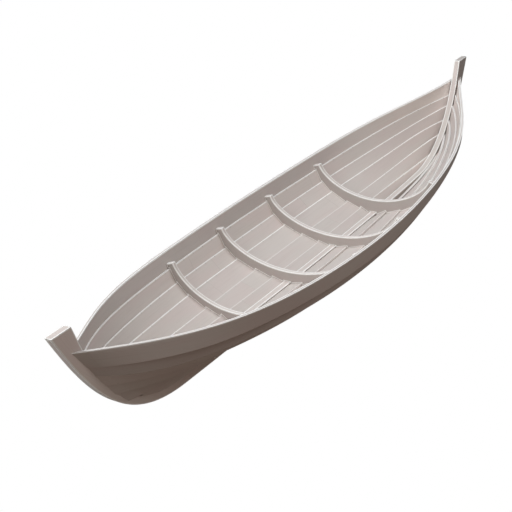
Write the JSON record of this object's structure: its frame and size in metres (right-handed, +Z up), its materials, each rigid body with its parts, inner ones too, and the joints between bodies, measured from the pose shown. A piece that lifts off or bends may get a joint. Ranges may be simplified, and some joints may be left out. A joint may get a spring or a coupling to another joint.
{
  "type": "clinker-built double-ended rowing boat",
  "caption": "Open wooden rowing boat, pointed at both ends, with overlapping planks, sawn frames, a keel and raked stems with level heads",
  "frame": {"origin": "amidships on the centreline, at the waterline of the empty boat in fresh water", "axes": "+X runs to the bow, +Y to port, +Z up; the end with the higher head and longer overhang is taken as the bow"},
  "size_m": [6.5, 1.5378, 1.1219],
  "materials": {
    "plank_wood": "weathered, bare",
    "frame_wood": "weathered, bare",
    "backbone_wood": "weathered, bare"
  },
  "bodies": {
    "root": {"keel": "backbone_wood", "hog": "backbone_wood", "stem_fore": "backbone_wood", "stem_aft": "backbone_wood", "garboard_port_aft": "plank_wood", "garboard_port_middle": "plank_wood", "garboard_port_fore": "plank_wood", "garboard_starboard_aft": "plank_wood", "garboard_starboard_middle": "plank_wood", "garboard_starboard_fore": "plank_wood", "strake_2_port_aft": "plank_wood", "strake_2_port_middle": "plank_wood", "strake_2_port_fore": "plank_wood", "strake_2_starboard_aft": "plank_wood", "strake_2_starboard_middle": "plank_wood", "strake_2_starboard_fore": "plank_wood", "strake_3_port_aft": "plank_wood", "strake_3_port_middle": "plank_wood", "strake_3_port_fore": "plank_wood", "strake_3_starboard_aft": "plank_wood", "strake_3_starboard_middle": "plank_wood", "strake_3_starboard_fore": "plank_wood", "strake_4_port_aft": "plank_wood", "strake_4_port_middle": "plank_wood", "strake_4_port_fore": "plank_wood", "strake_4_starboard_aft": "plank_wood", "strake_4_starboard_middle": "plank_wood", "strake_4_starboard_fore": "plank_wood", "strake_5_port_aft": "plank_wood", "strake_5_port_middle": "plank_wood", "strake_5_port_fore": "plank_wood", "strake_5_starboard_aft": "plank_wood", "strake_5_starboard_middle": "plank_wood", "strake_5_starboard_fore": "plank_wood", "sheer_strake_port_aft": "plank_wood", "sheer_strake_port_middle": "plank_wood", "sheer_strake_port_fore": "plank_wood", "sheer_strake_starboard_aft": "plank_wood", "sheer_strake_starboard_middle": "plank_wood", "sheer_strake_starboard_fore": "plank_wood", "frame_1": "frame_wood", "frame_2": "frame_wood", "frame_3": "frame_wood", "frame_4": "frame_wood"}
  },
  "joints": []
}
